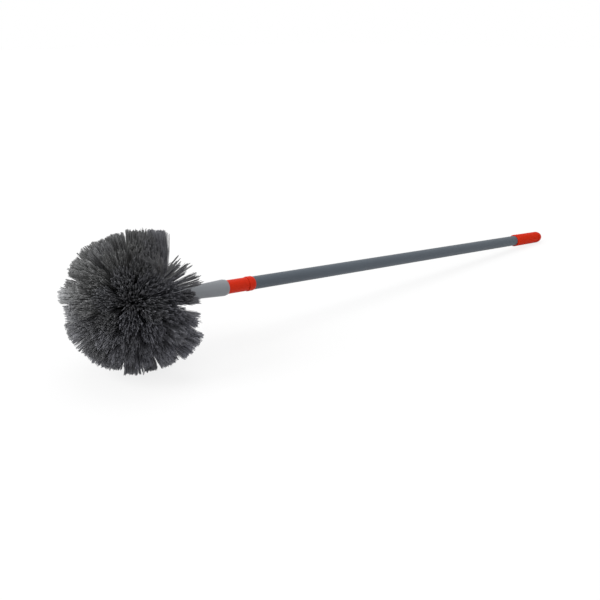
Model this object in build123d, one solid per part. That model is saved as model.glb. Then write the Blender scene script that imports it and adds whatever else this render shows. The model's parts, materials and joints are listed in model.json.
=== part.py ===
"""Cobweb brush: a ball of tufts on a tapered socket, with a two-part telescopic pole.

It lies on a floor as it does when put down, on its tufts and its end cap. Every piece is
first modelled along the pole: the ball's centre is the origin, the pole runs along +X and
the front of the ball looks along -X. One placement then tilts the pole down to the floor.
"""
from build123d import *
from math import asin, atan, atan2, cos, degrees, hypot, pi, radians, sin, tan
import os

# Ball of tufts, in millimetres and degrees
head_radius = 107.5
block_radius = 32.0
slice_thickness = 6.0
ring_step = 19.0
ring_count = 7
rear_slice_front = 143.0
rear_ring_angle = 153.0
rear_tufts = 8
flat_depth = 0.5

# One tuft: five strands that spread from a hole in the block
strand_embed = 3.4
strand_root_side = 1.5
strand_tip_side = 2.5
tuft_root_spread = 1.7
tuft_tip_spread = 7.0
strand_spot_shares = [(0, 0), (-1, -1), (-1, 1), (1, -1), (1, 1)]

# Flat wire staple under each tuft
anchor_length = 4.0
anchor_thickness = 0.6
anchor_height = 2.0
anchor_clearance = 0.08
anchor_lift = 0.2

# Socket of the brush block
socket_reach = 170.0
socket_root_diameter = 20.6
socket_waist_diameter = 22.8
socket_mouth_diameter = 27.0
socket_lip_diameter = 25.2
socket_taper_length = 43.0
socket_lip_length = 5.0
socket_seat_depth = 10.0
socket_thread_depth = 34.0
socket_core_diameter = 12.0
socket_core_depth = 90.0

# Tip of the inner pole
neck_diameter = 22.6
neck_show = 42.7
neck_chamfer = 0.6
thread_diameter = 18.8
thread_length = 30.0
thread_chamfer = 1.6
relief_width = 3.0
relief_depth = 0.9
tip_spigot_length = 30.0
tip_bore_diameter = 11.0
tip_bore_length = 52.0

# Tubes
outer_tube_diameter = 22.0
outer_tube_wall = 0.7
outer_tube_length = 877.0
inner_tube_diameter = 19.0
inner_tube_wall = 0.6
pole_travel = 620.0

# Guide collar on the mouth of the outer tube
collar_ring_diameter = 24.5
collar_ring_length = 13.0
collar_lip_length = 3.0
collar_front_chamfer = 0.5
collar_rear_chamfer = 1.0
collar_rear_chamfer_length = 3.0
guide_length = 54.0

# End cap
cap_length = 108.0
cap_mouth_diameter = 26.4
cap_end_diameter = 25.5
cap_mouth_chamfer = 0.7
cap_groove_width = 1.6
cap_groove_depth = 0.6
cap_groove_from_end = 20.0
cap_dome_length = 17.0
cap_nose_diameter = 13.0
cap_nose_fillet = 2.4
cap_seat_from_end = 24.0
cap_core_diameter = 18.0
cap_end_wall = 6.0

# Twist lock in the rear of the inner tube
plug_length = 28.0
plug_flange_thickness = 2.5
spindle_diameter = 6.0
spindle_head_across_flats = 10.0
spindle_head_height = 4.0
spindle_end_length = 1.5
nut_across_flats = 10.0
nut_height = 5.0
sleeve_hub_length = 8.0
finger_length = 22.0
finger_bore_front_diameter = 10.0
finger_bore_rear_diameter = 16.4
finger_slot_width = 2.2
cone_travel = 1.0
cone_front_margin = 1.0
cone_overhang = 2.0
fin_inset = 0.6
fin_setback = 1.5

# Fits
push_clearance = 0.02
running_clearance = 0.1
face_clearance = 0.3
cone_clearance = 0.05
fin_clearance = 0.2
travel_spare = 0.5
overrun = 5.0

# Radii and stations worked out from the dimensions above
core_radius = block_radius - slice_thickness
half_step = ring_step / 2
last_slice_end = ring_count * ring_step - half_step
# The flats of the core lie this far inside its corners, and the staples stand on them
anchor_sag = core_radius * (1 - cos(radians(half_step)))
anchor_foot = core_radius + anchor_lift - anchor_sag
socket_root_radius = socket_root_diameter / 2
rear_slice_end = 180 - degrees(asin(socket_root_radius / block_radius))
outer_tube_bore_radius = outer_tube_diameter / 2 - outer_tube_wall
inner_tube_radius = inner_tube_diameter / 2
inner_tube_bore_radius = inner_tube_radius - inner_tube_wall
neck_radius = neck_diameter / 2
thread_radius = thread_diameter / 2
neck_front = socket_reach - socket_seat_depth + face_clearance
neck_rear = socket_reach + neck_show
collar_front = neck_rear + face_clearance
tube_seat = collar_front + collar_lip_length
guide_rear = tube_seat + guide_length
outer_tube_end = tube_seat + outer_tube_length
cap_end = outer_tube_end + cap_seat_from_end
cap_mouth = cap_end - cap_length
sleeve_front = guide_rear + pole_travel + travel_spare
flange_front = sleeve_front - face_clearance - plug_flange_thickness
inner_tube_length = flange_front - neck_rear
finger_start = sleeve_front + sleeve_hub_length
sleeve_rear = finger_start + finger_length
cone_front = finger_start + cone_travel + cone_front_margin
cone_rear = sleeve_rear + cone_overhang
nut_front = cone_rear + face_clearance
spindle_end = nut_front + nut_height + spindle_end_length
spindle_radius = spindle_diameter / 2
sleeve_radius = outer_tube_bore_radius - running_clearance

# Height of the ball's centre, and the tilt that brings the end cap's rounded end to the floor
stand_height = head_radius - flat_depth
cap_end_radius = cap_end_diameter / 2
cap_nose_radius = cap_nose_diameter / 2
dome_drop = cap_end_radius - cap_nose_radius
dome_radius = (cap_dome_length**2 + dome_drop**2) / (2 * dome_drop)
dome_start = cap_end - cap_dome_length
dome_centre_radius = cap_end_radius - dome_radius
dome_reach = hypot(dome_start, dome_centre_radius)
tilt = degrees(asin((stand_height - dome_radius) / dome_reach) - atan2(dome_centre_radius, dome_start))
down = Vector(sin(radians(tilt)), 0, -cos(radians(tilt)))


def turned(points):
    """Solid of revolution about the pole's axis, from corners given as station and radius."""
    return revolve(make_face(Polyline(*points, close=True)), Axis.X)


def ring_of(front, rear, outer_radius, inner_radius):
    """Plain hollow cylinder along the pole."""
    return turned([(front, inner_radius), (front, outer_radius), (rear, outer_radius), (rear, inner_radius)])


def hexagon(front, rear, across_flats):
    """Hexagonal prism along the pole."""
    face = Plane(origin=(front, 0, 0), z_dir=(1, 0, 0)) * RegularPolygon(
        across_flats / 2, side_count=6, major_radius=False
    )
    return extrude(face, amount=rear - front)


def polar(radius, angle):
    """Station and radius of a point on a sphere, with the angle counted from the front of the ball."""
    return (-radius * cos(radians(angle)), radius * sin(radians(angle)))


def tufts_in_ring(ring):
    """How many tufts fill a ring at the same spacing as the rings have between them."""
    if ring == 0:
        return 1
    return round(2 * pi * sin(radians(ring * ring_step)) / radians(ring_step))


def tuft_directions(angle, count):
    """For each tuft of a ring, its direction, the one along the meridian and the one round the ring."""
    directions = []
    for place in range(count):
        turn = 2 * pi * place / count
        lean = radians(angle)
        outward = Vector(-cos(lean), sin(lean) * sin(turn), -sin(lean) * cos(turn))
        along = Vector(sin(lean), cos(lean) * sin(turn), -cos(lean) * cos(turn))
        around = Vector(0, cos(turn), sin(turn))
        directions.append((outward, along, around))
    return directions


def strand(directions, spot):
    """One four-sided strand that thickens from its hole to its square-cut tip."""
    outward, along, around = directions
    sideways = along * spot[0] + around * spot[1]
    root = outward * (block_radius - strand_embed) + sideways * tuft_root_spread
    tip = (outward * head_radius + sideways * tuft_tip_spread).normalized() * head_radius
    run = tip - root
    across = run.cross(around)
    root_face = Plane(origin=root, x_dir=across, z_dir=run) * Rectangle(strand_root_side, strand_root_side)
    tip_face = Plane(origin=tip, x_dir=across, z_dir=run) * Rectangle(strand_tip_side, strand_tip_side)
    return loft([root_face, tip_face], ruled=True)


def anchor_shape(directions):
    """Flat staple that holds a tuft."""
    outward, _, around = directions
    place = Plane(origin=outward * anchor_foot, x_dir=around, z_dir=outward)
    return place * Box(
        anchor_length, anchor_thickness, anchor_height, align=(Align.CENTER, Align.CENTER, Align.MIN)
    )


def pocket_shape(directions):
    """Pocket of a staple, open towards the core of the block."""
    outward, _, around = directions
    foot = core_radius - slice_thickness / 2
    length = anchor_length + 2 * anchor_clearance
    width = anchor_thickness + 2 * anchor_clearance
    depth = anchor_foot + anchor_height + anchor_clearance - foot
    place = Plane(origin=outward * foot, x_dir=around, z_dir=outward)
    return place * Box(length, width, depth, align=(Align.CENTER, Align.CENTER, Align.MIN))


def tufted_slice(block_slice, directions):
    """A slice of the block with its tufts, and with the pockets of their staples."""
    strands = Compound([strand(each, spot).solid() for each in directions for spot in strand_spot_shares])
    pockets = Compound([pocket_shape(each).solid() for each in directions])
    return block_slice.fuse(strands).cut(pockets)


def floor_cut():
    """Block of space under the floor, in the place that the floor has along the pole."""
    floor = Plane(origin=down * stand_height, x_dir=(0, 1, 0), z_dir=down)
    return floor * Box(head_radius, head_radius, head_radius, align=(Align.CENTER, Align.CENTER, Align.MIN))


pieces = {}

# Tuft rings, each fused to its slice of the block
ring_directions = [tuft_directions(ring * ring_step, tufts_in_ring(ring)) for ring in range(ring_count)]
rear_directions = tuft_directions(rear_ring_angle, rear_tufts)

nose_slice = turned(
    [
        (polar(core_radius, half_step)[0], 0),
        (polar(block_radius, half_step)[0], 0),
        polar(block_radius, half_step),
        polar(core_radius, half_step),
    ]
)
pieces["nose_tuft"] = tufted_slice(nose_slice, ring_directions[0])

for ring in range(1, ring_count):
    front_edge = ring * ring_step - half_step
    rear_edge = ring * ring_step + half_step
    ring_slice = turned(
        [
            polar(core_radius, front_edge),
            polar(block_radius, front_edge),
            polar(block_radius, rear_edge),
            polar(core_radius, rear_edge),
        ]
    )
    pieces[f"tuft_ring_{ring}"] = tufted_slice(ring_slice, ring_directions[ring]) - floor_cut()

rear_slice = turned(
    [
        polar(core_radius, rear_slice_front),
        polar(block_radius, rear_slice_front),
        polar(block_radius, rear_slice_end),
        polar(core_radius, rear_slice_end),
    ]
)
pieces["rear_tuft_ring"] = tufted_slice(rear_slice, rear_directions)

# Staples, one group
every_tuft = [each for ring in ring_directions for each in ring] + rear_directions
pieces["tuft_anchors"] = Compound([anchor_shape(each).solid() for each in every_tuft])


def brush_block():
    """Core of the ball with its socket, one moulding."""
    bare_middle = (last_slice_end + rear_slice_front) / 2
    front_corners = [polar(core_radius, half_step + ring_step * step) for step in range(ring_count)]
    socket_waist = socket_reach - socket_lip_length - socket_taper_length
    outline = Polyline(
        (polar(core_radius, half_step)[0], 0), *front_corners, polar(block_radius, last_slice_end)
    ) + ThreePointArc(
        polar(block_radius, last_slice_end), polar(block_radius, bare_middle), polar(block_radius, rear_slice_front)
    )
    outline += Polyline(
        polar(block_radius, rear_slice_front),
        polar(core_radius, rear_slice_front),
        polar(core_radius, rear_slice_end),
        polar(block_radius, rear_slice_end),
        (socket_waist, socket_waist_diameter / 2),
        (socket_reach - socket_lip_length, socket_mouth_diameter / 2),
        (socket_reach, socket_lip_diameter / 2),
        (socket_reach, 0),
        (polar(core_radius, half_step)[0], 0),
    )
    body = revolve(make_face(outline), Axis.X)
    seat_front = socket_reach - socket_seat_depth
    thread_front = seat_front - socket_thread_depth
    core_front = thread_front - socket_core_depth
    bore = turned(
        [
            (core_front, 0),
            (core_front, socket_core_diameter / 2),
            (thread_front, socket_core_diameter / 2),
            (thread_front, thread_radius + running_clearance),
            (seat_front, thread_radius + running_clearance),
            (seat_front, neck_radius + running_clearance),
            (socket_reach + overrun, neck_radius + running_clearance),
            (socket_reach + overrun, 0),
        ]
    )
    return body - bore


pieces["brush_block"] = brush_block()


def pole_tip():
    """Screw end, smooth neck and tube spigot of the inner pole, one moulding."""
    thread_front = neck_front - thread_length
    spigot_rear = neck_rear + tip_spigot_length
    spigot_radius = inner_tube_bore_radius - push_clearance
    relief_front = neck_front - relief_width
    body = turned(
        [
            (thread_front, 0),
            (thread_front, thread_radius - thread_chamfer),
            (thread_front + thread_chamfer, thread_radius),
            (relief_front, thread_radius),
            (relief_front, thread_radius - relief_depth),
            (neck_front, thread_radius - relief_depth),
            (neck_front, neck_radius - neck_chamfer),
            (neck_front + neck_chamfer, neck_radius),
            (neck_rear - neck_chamfer, neck_radius),
            (neck_rear, neck_radius - neck_chamfer),
            (neck_rear, spigot_radius),
            (spigot_rear, spigot_radius),
            (spigot_rear, 0),
        ]
    )
    return body - ring_of(spigot_rear - tip_bore_length, spigot_rear + overrun, tip_bore_diameter / 2, 0)


pieces["pole_tip"] = pole_tip()
pieces["inner_tube"] = ring_of(neck_rear, neck_rear + inner_tube_length, inner_tube_radius, inner_tube_bore_radius)
pieces["outer_tube"] = ring_of(tube_seat, outer_tube_end, outer_tube_diameter / 2, outer_tube_bore_radius)


def guide_collar():
    """Ring on the mouth of the outer tube, with the sleeve inside it that guides the inner tube."""
    ring_radius = collar_ring_diameter / 2
    ring_rear = collar_front + collar_ring_length
    bore_radius = inner_tube_radius + running_clearance
    slot_outside = outer_tube_diameter / 2 + push_clearance
    slot_inside = outer_tube_bore_radius - push_clearance
    return turned(
        [
            (collar_front, bore_radius),
            (collar_front, ring_radius - collar_front_chamfer),
            (collar_front + collar_front_chamfer, ring_radius),
            (ring_rear - collar_rear_chamfer_length, ring_radius),
            (ring_rear, ring_radius - collar_rear_chamfer),
            (ring_rear, slot_outside),
            (tube_seat, slot_outside),
            (tube_seat, slot_inside),
            (guide_rear, slot_inside),
            (guide_rear, bore_radius),
        ]
    )


pieces["guide_collar"] = guide_collar()


def end_cap():
    """Grip cap pushed over the outer tube, with a ring groove and a rounded end."""
    mouth_radius = cap_mouth_diameter / 2
    groove_rear = cap_end - cap_groove_from_end
    groove_front = groove_rear - cap_groove_width
    dome_middle = atan(dome_drop / cap_dome_length)
    arc_middle = (
        dome_start + dome_radius * sin(dome_middle),
        dome_centre_radius + dome_radius * cos(dome_middle),
    )
    outline = Polyline(
        (cap_end, 0),
        (cap_mouth, 0),
        (cap_mouth, mouth_radius - cap_mouth_chamfer),
        (cap_mouth + cap_mouth_chamfer, mouth_radius),
        (dome_start, cap_end_radius),
    ) + ThreePointArc((dome_start, cap_end_radius), arc_middle, (cap_end, cap_nose_radius))
    outline += Line((cap_end, cap_nose_radius), (cap_end, 0))
    body = revolve(make_face(outline), Axis.X)
    body = fillet(body.edges().sort_by(Axis.X)[-1], cap_nose_fillet)
    groove = ring_of(groove_front, groove_rear, mouth_radius + overrun, cap_end_radius - cap_groove_depth)
    bore = turned(
        [
            (cap_mouth - overrun, 0),
            (cap_mouth - overrun, outer_tube_diameter / 2 + push_clearance),
            (outer_tube_end, outer_tube_diameter / 2 + push_clearance),
            (outer_tube_end, cap_core_diameter / 2),
            (cap_end - cap_end_wall, cap_core_diameter / 2),
            (cap_end - cap_end_wall, 0),
        ]
    )
    return body - groove - bore


pieces["end_cap"] = end_cap()


def lock_plug():
    """Plug in the rear end of the inner tube, with a flange over the tube's edge."""
    barrel_radius = inner_tube_bore_radius - push_clearance
    bore_radius = spindle_radius + push_clearance
    return turned(
        [
            (flange_front - plug_length, bore_radius),
            (flange_front - plug_length, barrel_radius),
            (flange_front, barrel_radius),
            (flange_front, inner_tube_radius),
            (flange_front + plug_flange_thickness, inner_tube_radius),
            (flange_front + plug_flange_thickness, bore_radius),
        ]
    )


def lock_spindle():
    """Screw with a hexagonal head against the plug's front face."""
    head_rear = flange_front - plug_length
    head = hexagon(head_rear - spindle_head_height, head_rear, spindle_head_across_flats)
    return head + ring_of(head_rear, spindle_end, spindle_radius, 0)


def lock_sleeve():
    """Sleeve with four fingers round a cone-shaped bore, that slides in the outer tube."""
    sleeve = turned(
        [
            (sleeve_front, spindle_radius + running_clearance),
            (sleeve_front, sleeve_radius),
            (sleeve_rear, sleeve_radius),
            (sleeve_rear, finger_bore_rear_diameter / 2),
            (finger_start, finger_bore_front_diameter / 2),
            (finger_start, spindle_radius + running_clearance),
        ]
    )
    slot_length = finger_length + overrun
    slot_middle = (finger_start + slot_length / 2, 0, 0)
    upright_slot = Pos(slot_middle) * Box(slot_length, finger_slot_width, outer_tube_diameter)
    level_slot = Pos(slot_middle) * Box(slot_length, outer_tube_diameter, finger_slot_width)
    return sleeve - upright_slot - level_slot


def lock_cone():
    """Cone nut on the spindle, with four fins that keep it from turning in the sleeve."""
    slope = (finger_bore_rear_diameter - finger_bore_front_diameter) / 2 / finger_length
    gap = cone_clearance / cos(atan(slope)) + cone_travel * slope
    front_radius = finger_bore_front_diameter / 2 + (cone_front - finger_start) * slope - gap
    rear_radius = finger_bore_front_diameter / 2 + (cone_rear - finger_start) * slope - gap
    body = turned([(cone_front, 0), (cone_front, front_radius), (cone_rear, rear_radius), (cone_rear, 0)])
    fin_front = cone_front + fin_setback
    fin_length = cone_rear - fin_front
    fin_width = finger_slot_width - 2 * fin_clearance
    fin_span = 2 * (sleeve_radius - fin_inset)
    fin_middle = ((fin_front + cone_rear) / 2, 0, 0)
    upright_fins = Pos(fin_middle) * Box(fin_length, fin_width, fin_span)
    level_fins = Pos(fin_middle) * Box(fin_length, fin_span, fin_width)
    bore = ring_of(cone_front - overrun, cone_rear + overrun, spindle_radius + running_clearance, 0)
    return body + upright_fins + level_fins - bore


def spindle_nut():
    """Nut that keeps the cone on the spindle."""
    nut = hexagon(nut_front, nut_front + nut_height, nut_across_flats)
    bore = ring_of(nut_front - overrun, nut_front + nut_height + overrun, spindle_radius + push_clearance, 0)
    return nut - bore


pieces["lock_plug"] = lock_plug()
pieces["lock_spindle"] = lock_spindle()
pieces["lock_sleeve"] = lock_sleeve()
pieces["lock_cone"] = lock_cone()
pieces["spindle_nut"] = spindle_nut()

# Placed on the floor, with the origin under the middle of the whole brush
front_end = -head_radius
rear_end = cap_end * cos(radians(tilt)) + cap_nose_radius * sin(radians(tilt))
placement = Location((-(front_end + rear_end) / 2, 0, stand_height)) * Rotation(0, tilt, 0)

os.makedirs("parts", exist_ok=True)
for name, shape in pieces.items():
    export_step(placement * shape, f"parts/{name}.step")

print(f"tilt {tilt:.6f} degrees, ball centre at x {-(front_end + rear_end) / 2:.4f}, z {stand_height:.4f}")
print(f"strands {sum(len(each) for each in ring_directions + [rear_directions]) * len(strand_spot_shares)}")
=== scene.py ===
"""Dresses a cobweb brush: bristles, plastics, coated tubes, the twist lock and a pale studio floor.

Everything is in metres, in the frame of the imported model. The pole's axis is read from the frame,
and the ball's centre is the point of it at the ball's height, so the pieces follow the model.
"""

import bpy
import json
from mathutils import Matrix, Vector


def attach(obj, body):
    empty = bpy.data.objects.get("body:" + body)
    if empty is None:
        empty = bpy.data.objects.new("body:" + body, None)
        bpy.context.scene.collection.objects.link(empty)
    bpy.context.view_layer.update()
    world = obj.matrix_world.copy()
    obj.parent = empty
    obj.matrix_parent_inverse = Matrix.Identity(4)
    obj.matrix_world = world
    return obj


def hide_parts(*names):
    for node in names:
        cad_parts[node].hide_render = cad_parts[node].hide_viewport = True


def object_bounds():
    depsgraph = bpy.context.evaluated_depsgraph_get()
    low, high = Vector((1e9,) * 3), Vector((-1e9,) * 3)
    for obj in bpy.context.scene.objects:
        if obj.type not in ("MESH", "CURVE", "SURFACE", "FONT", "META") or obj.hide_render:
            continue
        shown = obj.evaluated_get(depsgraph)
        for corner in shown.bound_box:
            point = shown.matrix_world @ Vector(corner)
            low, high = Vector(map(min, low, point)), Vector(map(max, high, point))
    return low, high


bl_info = {
    "name": "Cobweb brush",
    "version": (1, 0, 0),
    "blender": (4, 5, 0),
    "location": "3D View > Sidebar > Cobweb Brush",
    "description": "Makes the bristles and finishes of a cobweb brush on a telescopic pole",
    "category": "Object",
}

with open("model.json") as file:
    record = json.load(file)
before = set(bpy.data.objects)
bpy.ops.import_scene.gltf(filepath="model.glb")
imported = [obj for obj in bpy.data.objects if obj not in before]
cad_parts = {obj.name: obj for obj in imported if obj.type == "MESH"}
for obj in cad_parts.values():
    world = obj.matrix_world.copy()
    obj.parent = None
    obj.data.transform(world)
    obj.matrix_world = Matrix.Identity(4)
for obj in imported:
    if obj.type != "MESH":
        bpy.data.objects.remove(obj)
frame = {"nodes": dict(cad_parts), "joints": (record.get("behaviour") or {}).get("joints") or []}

import json
import random
from math import cos, pi, radians, sin, sqrt
from typing import NamedTuple

import bmesh
import bpy
from bpy.props import FloatProperty, FloatVectorProperty, IntProperty, PointerProperty
from mathutils import Matrix, Vector

MILLIMETRE = 0.001

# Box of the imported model, read before anything is made
MODEL_LOW, MODEL_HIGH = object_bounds()

# The pole's axis, from the joint that twists about it, and the ball's centre on that axis
BALL_HEIGHT = 0.107
TWIST = next(joint for joint in frame["joints"] if joint["name"] == "lock_twist")
TO_HEAD = Vector(TWIST["axis"])
ON_AXIS = Vector(TWIST["pos_m"])
BALL_CENTRE = ON_AXIS + TO_HEAD * ((BALL_HEIGHT - ON_AXIS.z) / TO_HEAD.z)
POLE_X = -TO_HEAD
POLE_Y = Vector((0, 1, 0))
POLE_Z = POLE_X.cross(POLE_Y)
POLE_TURN = Matrix((POLE_X, POLE_Y, POLE_Z)).transposed()
POLE_TILT = POLE_TURN.to_euler().y

# How the ball is filled: rings of tufts at one angular step, and the bunch behind them
RING_STEP = radians(19)
RING_COUNT = 7
REAR_ANGLE = radians(153)
REAR_TUFTS = 8
REAR_SLICE_FRONT = radians(143)
REAR_SLICE_END = radians(161.2)

# Slices of the block that carry the tufts
SLICE_THICKNESS = 0.006
SLICE_FACETS = 64
SLICE_ARC_STEPS = 4

# Tip of the inner pole, with stations from the ball's centre: screw end, neck and spigot in the tube
TIP_FRONT = 0.1303
NECK_FRONT = 0.1603
NECK_REAR = 0.2127
SPIGOT_REAR = 0.2427
NECK_RADIUS = 0.0113
NECK_CHAMFER = 0.0006
SPIGOT_RADIUS = 0.00885
TIP_BORE_RADIUS = 0.0055
TIP_BORE_LENGTH = 0.052
TIP_FACETS = 96
SHARP_ANGLE = radians(30)

# Thread: steps to a turn, plain stretch behind it, depth of its foot in the core, and the share of a
# turn in which it runs out
THREAD_STEPS = 48
THREAD_RELIEF = 0.0030
THREAD_BURIED = 0.0002
THREAD_RUN_OUT = 0.25

# Photograph's camera
FRAME_SIDE = 600
FOCAL_PIXELS = 800
SENSOR_WIDTH = 36.0

# Floor in the picture: half its width, share of the light on it that it shows, and its brightness
# away from the shadow, where 1 is white
FLOOR_HALF = 15.0
FLOOR_SHOWN = 0.15
FLOOR_WHITE = 1.01

# Light that the floor is taken to get: at the place that the lamps light most, far from there, and
# how many metres away half of the difference is gone
FLOOR_LIT_PLACE = (-0.6, 0.1, 0.0)
FLOOR_LIGHT_THERE = 1.23
FLOOR_LIGHT_FAR = 0.48
FLOOR_LIGHT_FALL = 2.6

# Shine of the coat and the mouldings, where 0.5 is that of a polished plastic, and their roughness
SATIN = 0.22
FITTING_SHINE = 0.1
CAP_SHINE = 0.03
BLOCK_ROUGHNESS = 0.42
SLICE_ROUGHNESS = 0.5
FITTING_ROUGHNESS = 0.44
CAP_ROUGHNESS = 0.52
LOCK_ROUGHNESS = 0.45

# Share of the block's colour on its slices: painted shade, as they lie in the dark among the roots
SLICE_SHADE = 0.5


class Comb(NamedTuple):
    """How a tuft lies otherwise than the rest, seen in the photograph's view, and its tone, which is
    painted light and shade.
    """

    right: float = 0  # of the tips, in millimetres
    up: float = 0
    reach: float = 1  # share of the usual
    width: float = 1
    knee: tuple = (0, 0)  # how far the strands are pushed right and up near the block, in millimetres
    fill: float = 1  # share of the locks that it has
    loose: float = 1  # share of the usual for the bristles outside the locks
    tight: float = 1  # share of the usual for the width of its locks
    tone: float = 0  # painted shade from about -1 for dark to painted light at 3 for pale, or 0 to leave the tone to chance


def thin(tone):
    """Comb of a thin tuft of narrow locks."""
    return Comb(fill=0.65, loose=0.3, tight=0.7, tone=tone)


# Tufts that the photograph shows to lie in a way of their own, by node and place in the ring. Their
# tones are painted light and shade: pale where the head is lit, dark where it is shaded
COMBED = {
    "nose_tuft": {0: Comb(3, 3, 0.98, 0.8, loose=0.6, tone=1.6)},
    "tuft_ring_1": {
        0: thin(1.0),
        1: Comb(2, 8, 0.96, 0.65, fill=0.8, loose=0.4, tone=1.8),
        2: Comb(0, 0, 1.01, 0.62, loose=0.2, tone=2.8),
        3: Comb(tone=1.6),
        4: Comb(tone=0.9),
        5: Comb(tone=0.2),
    },
    "tuft_ring_2": {
        0: thin(0.8),
        1: thin(1.0),
        2: Comb(3, -13, 0.99, 0.78, fill=0.7, loose=0.2, tight=0.8, tone=1.4),
        3: Comb(0, 4, 1.0, 0.58, loose=0.2, tone=2.3),
        4: Comb(1, -8, 0.97, 0.5, fill=0.8, tone=1.4),
        5: Comb(0, 3, 0.99, 0.85, loose=0.5, tone=1.3),
        6: Comb(loose=0.7, tone=1.0),
        7: Comb(tone=0.1),
        8: Comb(loose=1.4, tone=-0.4),
        9: Comb(loose=1.4, tone=-0.8),
    },
    "tuft_ring_3": {
        1: thin(0.6),
        2: thin(1.0),
        3: Comb(0, 0, 0.98, 0.62, fill=0.8, loose=0.2, tight=0.8, tone=1.4),
        4: Comb(1, 0, 0.99, 0.75, loose=0.2, tone=1.8),
        5: Comb(1, 7, 0.98, 0.8, loose=0.6, tone=1.4),
        6: Comb(fill=0.8, loose=0.6, tone=0.9),
        7: Comb(loose=0.6, tone=0.8),
        8: Comb(loose=0.7, tone=0.7),
        9: Comb(loose=1.3, tone=-0.2),
        10: Comb(loose=1.5, tone=-0.4),
        11: Comb(width=1.15, loose=1.5, tone=-0.3),
        12: Comb(loose=1.5, tone=-0.2),
        15: Comb(-2, 0, 1.0, 0.7),
    },
    "tuft_ring_4": {
        0: Comb(-7, 0, 1.0, 0.6, loose=0.4),
        8: Comb(2, -2, 0.98, 1.0, loose=0.5),
        9: Comb(-6, 4, 1.01, 0.65, loose=0.3, tone=0.2),
        10: Comb(5, 0, 1.0, 0.8, loose=0.5, tone=-0.6),
        11: Comb(width=1.15, loose=1.7, tone=-0.4),
        12: Comb(-1, 2, 1.0, 1.1, loose=1.8, tone=-0.6),
        13: Comb(width=1.12, loose=1.6, tone=-0.4),
        14: Comb(width=1.05, loose=1.4, tone=-0.1),
        16: Comb(6, 0, 0.97, 0.8, loose=0.5),
        17: Comb(2, 0, 1.01, 0.85, loose=0.4),
    },
    "tuft_ring_5": {
        0: Comb(-8, 0, 1.0, 0.7, loose=0.4),
        8: Comb(-4, 0, 0.99, 0.5, loose=0.3),
        9: Comb(0, 0, 1.01, 0.65, loose=0.3, tone=-0.6),
        10: Comb(loose=0.4, tone=-0.8),
        11: Comb(-8, 2, 1.0, 0.9, knee=(2, 0), loose=0.4, tone=-0.8),
        12: Comb(-24, 12, 0.98, 0.8, knee=(11, -2), loose=0.3, tone=-0.8),
        13: Comb(loose=0.6, tone=-1.2),
        14: Comb(loose=0.5, tone=-0.1),
        15: Comb(2, 0, 1.05, 0.85, loose=0.3, tone=0.4),
        16: Comb(-2, 0, 1.03, 0.75, loose=0.4, tone=0.1),
        17: Comb(8, 0, 1.01, 0.65, loose=0.4, tone=0.4),
        18: Comb(3, 0, 1.0, 0.6, loose=0.4),
    },
    "tuft_ring_6": {
        0: Comb(0, 6),
        6: Comb(-6, -6, loose=0.4),
        8: Comb(-7, 7, 1.03, 0.95, loose=0.5, tone=-0.8),
        9: Comb(-15, 12, 1.08, 0.85, knee=(6, -2), loose=0.3, tone=-1),
        10: Comb(-32, 26, 1.15, 0.65, knee=(8, -4), loose=0.3, tone=-0.5),
        11: Comb(2, 8, 0.97, 0.9, fill=0.35, loose=0.05, tight=0.5, tone=-1),
        12: Comb(-17, -3, 1.0, 0.6, loose=0.6, tone=-1),
        13: Comb(-8, -6, 1.04, 0.85, loose=0.4, tone=-0.2),
        14: Comb(8, 8, 1.09, 0.75, loose=0.5, tone=0.4),
        15: Comb(6, 7, 1.07, 0.75, loose=0.4, tone=0.4),
        16: Comb(2, 0, 1.03, 0.8),
    },
    "rear_tuft_ring": {
        3: Comb(4, 7, 1.03, 0.9, fill=0.7, loose=0.1, tight=0.5, tone=-1),
        4: Comb(-4, 4, 1.0, 1.0, fill=0.4, loose=0.05, tight=0.5, tone=-1),
        5: Comb(-4, -3, 1.0, 0.8, fill=0.6, loose=0.2, tight=0.7, tone=-1),
        6: Comb(-14, -2, 0.94, 0.4, tone=-0.8),
    },
}


class BrushSizes(bpy.types.PropertyGroup):
    """Sizes of the bristles."""

    ball_radius: FloatProperty(
        name="Ball radius", description="From the ball's centre to the bristle tips",
        default=0.1066, unit="LENGTH",
    )
    block_radius: FloatProperty(
        name="Block radius", description="Surface that the tufts leave", default=0.032, unit="LENGTH",
    )
    hole_radius: FloatProperty(
        name="Hole radius", description="Radius of a tuft where it leaves the block",
        default=0.0026, unit="LENGTH",
    )
    tuft_radius: FloatProperty(
        name="Tuft radius", description="Radius of a tuft at its tips", default=0.0178, unit="LENGTH",
    )
    lock_share: FloatProperty(
        name="Lock share", description="Radius of a lock as a share of its tuft's",
        default=0.14, subtype="FACTOR",
    )
    loose_share: FloatProperty(
        name="Loose share", description="Share of the bristles that lie outside a lock",
        default=0.42, subtype="FACTOR",
    )
    root_width: FloatProperty(
        name="Root width", description="Radius of a bristle at the block", default=0.00028, unit="LENGTH",
    )
    tip_width: FloatProperty(
        name="Tip width", description="Radius of a bristle at its tip", default=0.00031, unit="LENGTH",
    )
    curl: FloatProperty(
        name="Curl", description="How far a bristle bows at its middle", default=0.0009, unit="LENGTH",
    )
    lock_trim: FloatProperty(
        name="Lock trim", description="How much the locks of a tuft differ in reach",
        default=0.0022, unit="LENGTH",
    )
    bristle_trim: FloatProperty(
        name="Bristle trim", description="How much single bristles differ in reach",
        default=0.0018, unit="LENGTH",
    )
    locks: IntProperty(name="Locks", description="Locks in a tuft", default=26, min=1)
    bristles_per_lock: IntProperty(
        name="Bristles per lock", description="Bristles in each lock", default=10, min=1,
    )
    seed: IntProperty(name="Seed", description="Seed of everything random", default=7)


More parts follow.
